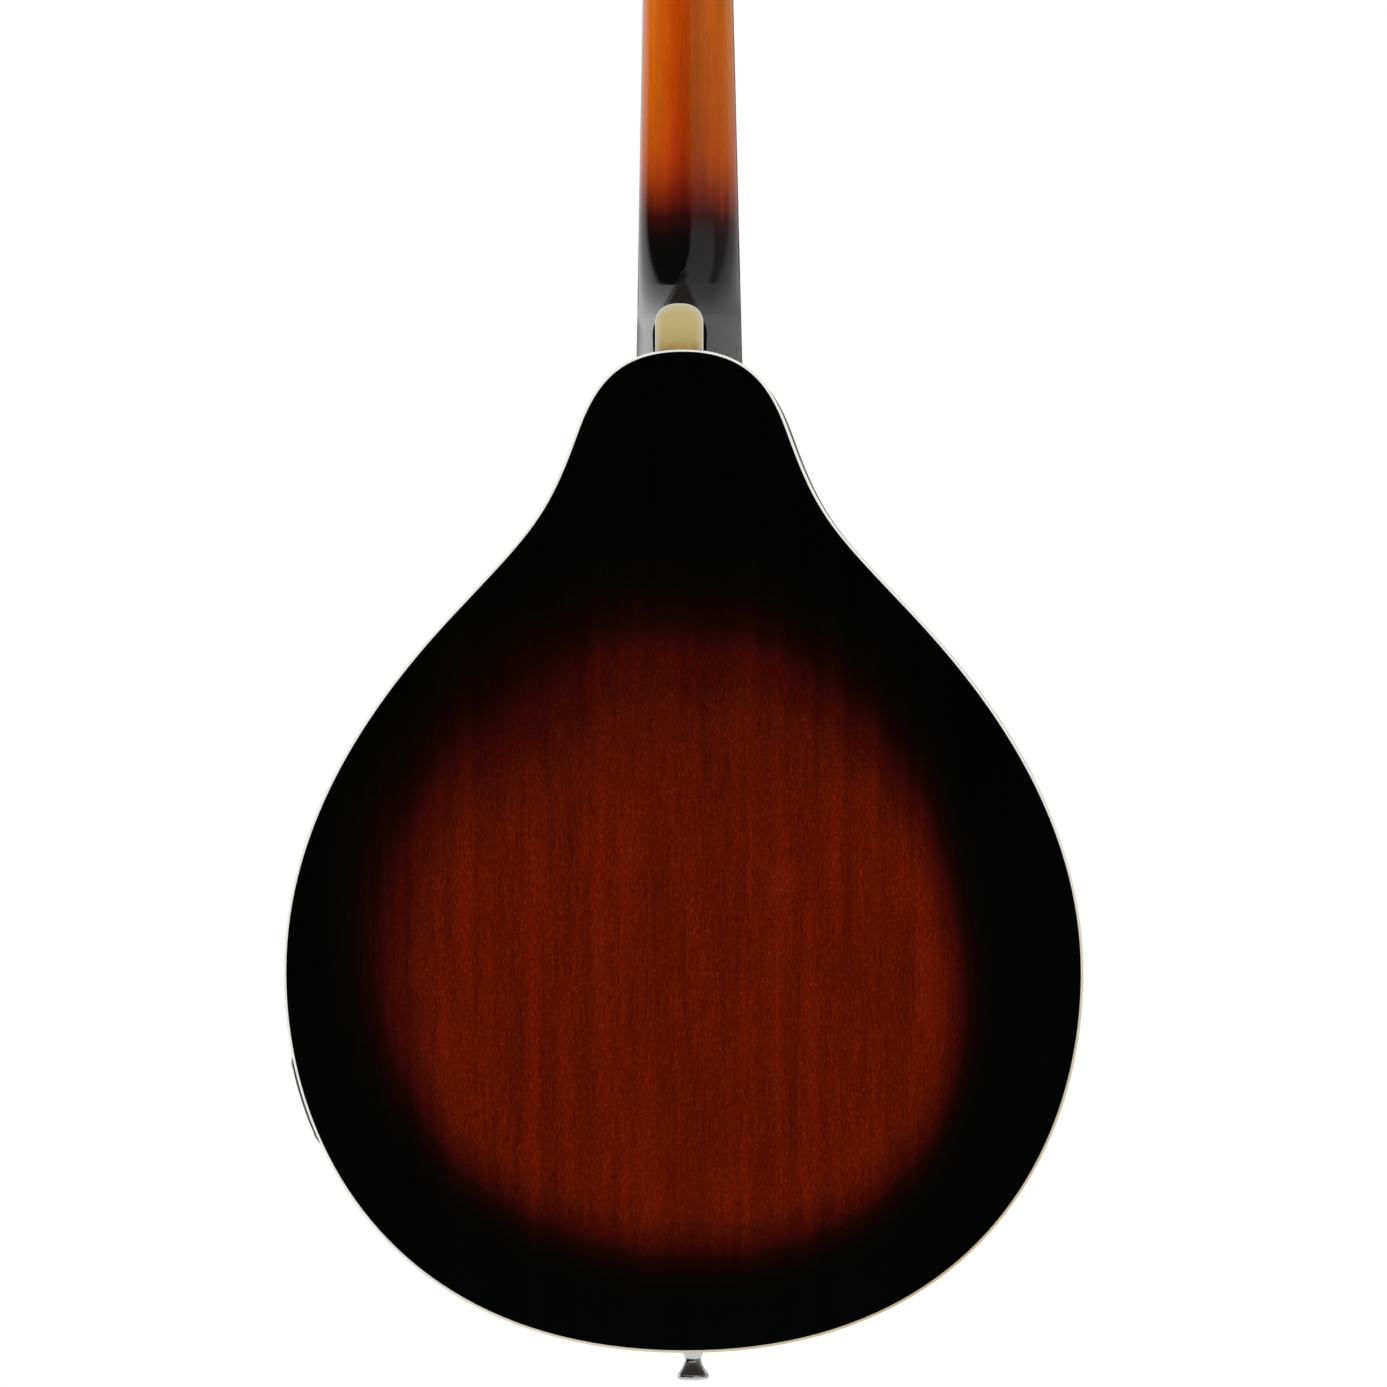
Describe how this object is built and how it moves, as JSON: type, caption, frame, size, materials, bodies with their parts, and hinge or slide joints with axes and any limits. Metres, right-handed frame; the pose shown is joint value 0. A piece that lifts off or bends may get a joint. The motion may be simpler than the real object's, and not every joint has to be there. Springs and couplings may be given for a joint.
{
  "type": "acoustic-electric mandolin",
  "caption": "Teardrop-bodied mandolin with a flat mahogany back, arched top, paired strings, geared tuners, adjustable bridge, magnetic pickup and a side output jack.",
  "frame": {"origin": "the hanger seat: midway between the two flares under the headstock, where a wall hanger's yoke holds it, at half the headstock's thickness", "axes": "+Z from the tail to the headstock, +Y out of the flat back, +X to the treble side"},
  "size_m": [0.2756, 0.0924, 0.6846],
  "materials": {
    "sunburst_mahogany": "high gloss sunburst lacquer, black at the rim",
    "orange_mahogany": "high gloss amber lacquer fading to black at the heel",
    "sunburst_spruce": "high gloss sunburst lacquer over spruce",
    "bare_spruce": "bare planed wood",
    "bare_mahogany": "bare planed wood",
    "rosewood": "oiled satin",
    "black_lacquer": "high gloss black lacquer",
    "cream_plastic": "glossy ivory plastic",
    "bone": "polished bone",
    "black_plastic": "satin black plastic",
    "chrome": "polished chrome plate",
    "nickel": "nickel-plated steel",
    "string_steel": "plain steel wire",
    "string_bronze": "bronze-wound steel wire",
    "brass": "turned brass"
  },
  "bodies": {
    "root": {"back_plate": "sunburst_mahogany", "back_binding": "cream_plastic", "upper_back_brace": "bare_spruce", "lower_back_brace": "bare_spruce", "side_treble": "sunburst_mahogany", "side_bass": "sunburst_mahogany", "tail_block": "bare_mahogany", "head_block": "bare_mahogany", "back_lining": "bare_mahogany", "top_lining": "bare_mahogany", "top_plate": "sunburst_spruce", "top_binding": "cream_plastic", "top_brace": "bare_spruce", "neck": "orange_mahogany", "heel_cap": "cream_plastic", "fretboard": "rosewood", "nut": "bone", "truss_rod": "brass", "headstock_veneer": "black_lacquer", "tuner_plate_bass": "nickel", "tuner_plate_treble": "nickel", "bridge_base": "rosewood", "tailpiece_base": "chrome", "strap_button": "chrome", "pickup": "black_plastic", "volume_pot": "nickel", "tone_pot": "nickel", "jack_plate": "black_plastic", "output_jack": "nickel", "wiring_harness": "black_plastic", "string_1": "string_bronze", "string_2": "string_bronze", "string_3": "string_bronze", "string_4": "string_bronze", "string_5": "string_steel", "string_6": "string_steel", "string_7": "string_steel", "string_8": "string_steel"},
    "bridge_saddle_body": {"bridge_saddle": "rosewood"},
    "thumbwheel_bass_body": {"thumbwheel_bass": "brass"},
    "thumbwheel_treble_body": {"thumbwheel_treble": "brass"},
    "tailpiece_cover_body": {"tailpiece_cover": "chrome"},
    "volume_knob_body": {"volume_knob": "black_plastic"},
    "tone_knob_body": {"tone_knob": "black_plastic"},
    "tuner_post_1_body": {"tuner_post_1": "nickel"},
    "tuner_post_2_body": {"tuner_post_2": "nickel"},
    "tuner_post_3_body": {"tuner_post_3": "nickel"},
    "tuner_post_4_body": {"tuner_post_4": "nickel"},
    "tuner_post_5_body": {"tuner_post_5": "nickel"},
    "tuner_post_6_body": {"tuner_post_6": "nickel"},
    "tuner_post_7_body": {"tuner_post_7": "nickel"},
    "tuner_post_8_body": {"tuner_post_8": "nickel"},
    "tuner_button_1_body": {"tuner_button_1": "cream_plastic"},
    "tuner_button_2_body": {"tuner_button_2": "cream_plastic"},
    "tuner_button_3_body": {"tuner_button_3": "cream_plastic"},
    "tuner_button_4_body": {"tuner_button_4": "cream_plastic"},
    "tuner_button_5_body": {"tuner_button_5": "cream_plastic"},
    "tuner_button_6_body": {"tuner_button_6": "cream_plastic"},
    "tuner_button_7_body": {"tuner_button_7": "cream_plastic"},
    "tuner_button_8_body": {"tuner_button_8": "cream_plastic"}
  },
  "joints": [
    {"name": "tuner_turn_1", "type": "hinge", "parent": "root", "child": "tuner_button_1_body", "pos_m": [-0.019, 0.01608, 0.01443], "axis": [-1, 0, 0], "continuous": true},
    {"name": "post_turn_1", "type": "hinge", "parent": "root", "child": "tuner_post_1_body", "pos_m": [-0.019, 0.00114, 0.0269], "axis": [0, -0.9537, 0.3007], "continuous": true},
    {"name": "tuner_turn_2", "type": "hinge", "parent": "root", "child": "tuner_button_2_body", "pos_m": [-0.019, 0.02297, 0.03627], "axis": [-1, 0, 0], "continuous": true},
    {"name": "post_turn_2", "type": "hinge", "parent": "root", "child": "tuner_post_2_body", "pos_m": [-0.019, 0.00803, 0.04874], "axis": [0, -0.9537, 0.3007], "continuous": true},
    {"name": "tuner_turn_3", "type": "hinge", "parent": "root", "child": "tuner_button_3_body", "pos_m": [-0.019, 0.02986, 0.05811], "axis": [-1, 0, 0], "continuous": true},
    {"name": "post_turn_3", "type": "hinge", "parent": "root", "child": "tuner_post_3_body", "pos_m": [-0.019, 0.01491, 0.07058], "axis": [0, -0.9537, 0.3007], "continuous": true},
    {"name": "tuner_turn_4", "type": "hinge", "parent": "root", "child": "tuner_button_4_body", "pos_m": [-0.019, 0.03674, 0.07995], "axis": [-1, 0, 0], "continuous": true},
    {"name": "post_turn_4", "type": "hinge", "parent": "root", "child": "tuner_post_4_body", "pos_m": [-0.019, 0.0218, 0.09242], "axis": [0, -0.9537, 0.3007], "continuous": true},
    {"name": "tuner_turn_5", "type": "hinge", "parent": "root", "child": "tuner_button_5_body", "pos_m": [0.019, 0.01608, 0.01443], "axis": [1, 0, 0], "continuous": true},
    {"name": "post_turn_5", "type": "hinge", "parent": "root", "child": "tuner_post_5_body", "pos_m": [0.019, 0.00114, 0.0269], "axis": [0, -0.9537, 0.3007], "continuous": true},
    {"name": "tuner_turn_6", "type": "hinge", "parent": "root", "child": "tuner_button_6_body", "pos_m": [0.019, 0.02297, 0.03627], "axis": [1, 0, 0], "continuous": true},
    {"name": "post_turn_6", "type": "hinge", "parent": "root", "child": "tuner_post_6_body", "pos_m": [0.019, 0.00803, 0.04874], "axis": [0, -0.9537, 0.3007], "continuous": true},
    {"name": "tuner_turn_7", "type": "hinge", "parent": "root", "child": "tuner_button_7_body", "pos_m": [0.019, 0.02986, 0.05811], "axis": [1, 0, 0], "continuous": true},
    {"name": "post_turn_7", "type": "hinge", "parent": "root", "child": "tuner_post_7_body", "pos_m": [0.019, 0.01491, 0.07058], "axis": [0, -0.9537, 0.3007], "continuous": true},
    {"name": "tuner_turn_8", "type": "hinge", "parent": "root", "child": "tuner_button_8_body", "pos_m": [0.019, 0.03674, 0.07995], "axis": [1, 0, 0], "continuous": true},
    {"name": "post_turn_8", "type": "hinge", "parent": "root", "child": "tuner_post_8_body", "pos_m": [0.019, 0.0218, 0.09242], "axis": [0, -0.9537, 0.3007], "continuous": true},
    {"name": "thumbwheel_turn_bass", "type": "hinge", "parent": "bridge_saddle_body", "child": "thumbwheel_bass_body", "pos_m": [-0.034, -0.03844, -0.35963], "axis": [0, -1, 0], "range_deg": [-720, 720]},
    {"name": "thumbwheel_turn_treble", "type": "hinge", "parent": "bridge_saddle_body", "child": "thumbwheel_treble_body", "pos_m": [0.034, -0.03844, -0.35963], "axis": [0, -1, 0], "range_deg": [-720, 720]},
    {"name": "saddle_lift", "type": "slide", "parent": "root", "child": "bridge_saddle_body", "axis": [0, -1, 0], "range_m": [-0.0014, 0.0014], "deforming": ["string_1", "string_2", "string_3", "string_4", "string_5", "string_6", "string_7", "string_8"]},
    {"name": "cover_slide", "type": "slide", "parent": "root", "child": "tailpiece_cover_body", "axis": [0, 0, -1], "range_m": [0, 0.03]},
    {"name": "volume_turn", "type": "hinge", "parent": "root", "child": "volume_knob_body", "pos_m": [0.093, -0.02774, -0.42947], "axis": [0, -1, 0], "range_deg": [0, 270]},
    {"name": "tone_turn", "type": "hinge", "parent": "root", "child": "tone_knob_body", "pos_m": [0.074, -0.02804, -0.46847], "axis": [0, -1, 0], "range_deg": [0, 270]}
  ],
  "couplings": [
    {"joint": "post_turn_1", "follows": "tuner_turn_1", "ratio": 0.066667},
    {"joint": "post_turn_2", "follows": "tuner_turn_2", "ratio": 0.066667},
    {"joint": "post_turn_3", "follows": "tuner_turn_3", "ratio": 0.066667},
    {"joint": "post_turn_4", "follows": "tuner_turn_4", "ratio": 0.066667},
    {"joint": "post_turn_5", "follows": "tuner_turn_5", "ratio": 0.066667},
    {"joint": "post_turn_6", "follows": "tuner_turn_6", "ratio": 0.066667},
    {"joint": "post_turn_7", "follows": "tuner_turn_7", "ratio": 0.066667},
    {"joint": "post_turn_8", "follows": "tuner_turn_8", "ratio": 0.066667},
    {"joint": "thumbwheel_turn_treble", "follows": "thumbwheel_turn_bass", "ratio": 1},
    {"joint": "saddle_lift", "follows": "thumbwheel_turn_bass", "m_per_rad": 0.0001114}
  ]
}
